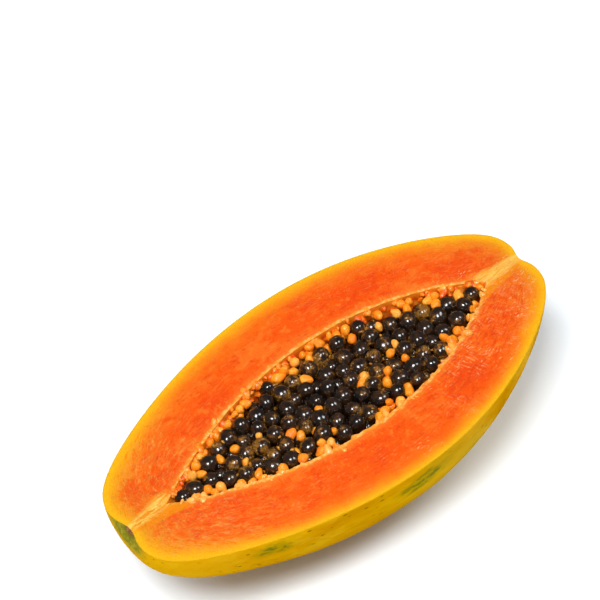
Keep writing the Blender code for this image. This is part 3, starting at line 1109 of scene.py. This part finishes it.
peach = fleshy("peach_stub", paint(290, 208, 110), paint(280, 176, 64), paint(262, 144, 34))
apricot = fleshy("apricot_stub", paint(282, 182, 64), paint(268, 142, 20), paint(254, 112, 8))
coral = fleshy("coral_bead", paint(266, 140, 24), paint(256, 106, 6), paint(238, 78, 2))
amber = fleshy("jelly_wisp", paint(206, 132, 22), paint(138, 84, 12), paint(240, 172, 64))

# %% Pulp: dark, wet and stringy
pulp_finish, shader, place = new_finish("seed_pulp")
strings = speckle(stretched(place, (0.4, 1, 1)), 420, 4, 0.65, 1.2)
color = ramp(strings, [(0.35, paint(46, 20, 10)), (0.55, paint(104, 44, 14)), (0.72, paint(190, 96, 34))])
relief = bump(strings, 0.0012, 0.7)
plug(shader, color, 0.25, relief, Coat_Weight=0.3, Coat_Roughness=0.1)

# %% Give each piece its finish
for pieces, finish, slot in (
    (ripe_seeds, ripe, "ripe_seed"),
    (pale_seeds, pale, "pale_seed"),
    ([pulp], pulp_finish, "seed_pulp"),
    ([near_stubs], peach, "flesh"),
    ([far_stubs], apricot, "flesh"),
    ([far_beads], coral, "flesh"),
    ([wisps], amber, "seed_pulp"),
):
    for piece in pieces:
        piece.data.materials.clear()
        piece.data.materials.append(finish)
        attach(piece, "root")
    print(slot, "pieces:", len(pieces))


# %% [markdown]
# ## Floor, light and camera
# The fruit lies on a plain white table under soft studio light. A key panel on the left and
# a weaker one on the right give every wet seed its two small highlights. A third panel,
# which nothing mirrors, and a pale surround soften the shadows. Far from the fruit the table
# glows a little, so that it stays white to its edge when it is seen from low down.

# %% White table
TABLE_SIZE = 6
GLOW_START, GLOW_FULL = 0.6, 2.4  # distances from the fruit
start_clean()
bpy.ops.mesh.primitive_plane_add(size=TABLE_SIZE, location=(0, 0, 0))
floor = bpy.context.object
floor.name = floor.data.name = "table_top"
white, shader, place = new_finish("white_table")
tone = ramp(speckle(place, 3, 2), [(0.3, (0.85, 0.91, 0.96, 1)), (0.7, (0.86, 0.92, 0.97, 1))])
from_fruit = add("ShaderNodeVectorMath", {0: place}, operation="LENGTH").outputs["Value"]
far_glow = times(fade(from_fruit, GLOW_START, GLOW_FULL), 0.8)
plug(shader, tone, 0.6, Specular_IOR_Level=0.1, Emission_Color=(1, 1, 1, 1), Emission_Strength=far_glow)
floor.data.materials.append(white)

# %% Camera
VIEW_AZIMUTH = -32.5
VIEW_ELEVATION = 53.0
VIEW_ROLL = -7.9
VIEW_DISTANCE = 1.0086
LENS = 154.6
CUT_CENTRE = Vector((0.0, 0.0, CUT_Z))
AIM_RIGHT, AIM_UP = -0.0119, 0.0350


def direction(azimuth, elevation):
    a, e = math.radians(azimuth), math.radians(elevation)
    return Vector((math.sin(a) * math.cos(e), -math.cos(a) * math.cos(e), math.sin(e)))


back = direction(VIEW_AZIMUTH, VIEW_ELEVATION)
level_right = Vector((0, 0, 1)).cross(back).normalized()
right = Matrix.Rotation(math.radians(VIEW_ROLL), 3, back) @ level_right
up = back.cross(right)
eye = CUT_CENTRE + back * VIEW_DISTANCE
away = (eye - (CUT_CENTRE + right * AIM_RIGHT + up * AIM_UP)).normalized()
right = up.cross(away).normalized()
up = away.cross(right)
camera = bpy.data.objects.new("camera", bpy.data.cameras.new("camera"))
bpy.context.scene.collection.objects.link(camera)
camera.data.lens = LENS
camera.data.sensor_width = 36
camera.matrix_world = Matrix.Translation(eye) @ Matrix((right, up, away)).transposed().to_4x4()
bpy.context.scene.camera = camera
print("camera at", [round(value, 3) for value in eye])

# %% A key light and a weaker one, which the seeds mirror, and a soft fill that they don't
KEY_POWER, RIGHT_POWER, FILL_POWER = 22.0, 7.6, 6.8  # watts
PANEL_DISTANCE = 1.6


def panel(name, toward, size, power):
    """A square light that shines on the fruit from the direction toward."""
    light = bpy.data.lights.new(name, "AREA")
    light.shape = "SQUARE"
    light.size = size
    light.energy = power
    made = bpy.data.objects.new(name, light)
    bpy.context.scene.collection.objects.link(made)
    made.location = CUT_CENTRE + toward * PANEL_DISTANCE
    made.rotation_euler = toward.to_track_quat("Z", "Y").to_euler()
    return made


panel("panel_key", direction(-51, 67), 0.50, KEY_POWER)
panel("panel_right", direction(50, 56), 0.48, RIGHT_POWER)
left_fill = panel("panel_left", direction(-100, 56), 0.6, FILL_POWER)
left_fill.visible_glossy = False
print("power of the panels:", KEY_POWER, RIGHT_POWER, FILL_POWER)

# %% Pale surround, dim at the horizon and in reflections, so that dark seeds stay dark
AT_HORIZON, OVERHEAD, REFLECTED, SEEN = 0.06, 0.62, 0.12, 1.0
world = bpy.data.worlds.new("surround")
bpy.context.scene.world = world
world.use_nodes = True
tree = world.node_tree
background = tree.nodes["Background"]
background.inputs["Color"].default_value = (1, 1, 1, 1)
height = axes_of(add("ShaderNodeTexCoord").outputs["Generated"])[2]
ray = add("ShaderNodeLightPath").outputs
lit = between(ray["Is Glossy Ray"], between(height, AT_HORIZON, OVERHEAD), REFLECTED)
feed(background.inputs["Strength"], between(ray["Is Camera Ray"], lit, SEEN))
bpy.context.scene.view_settings.view_transform = "Standard"
tally()
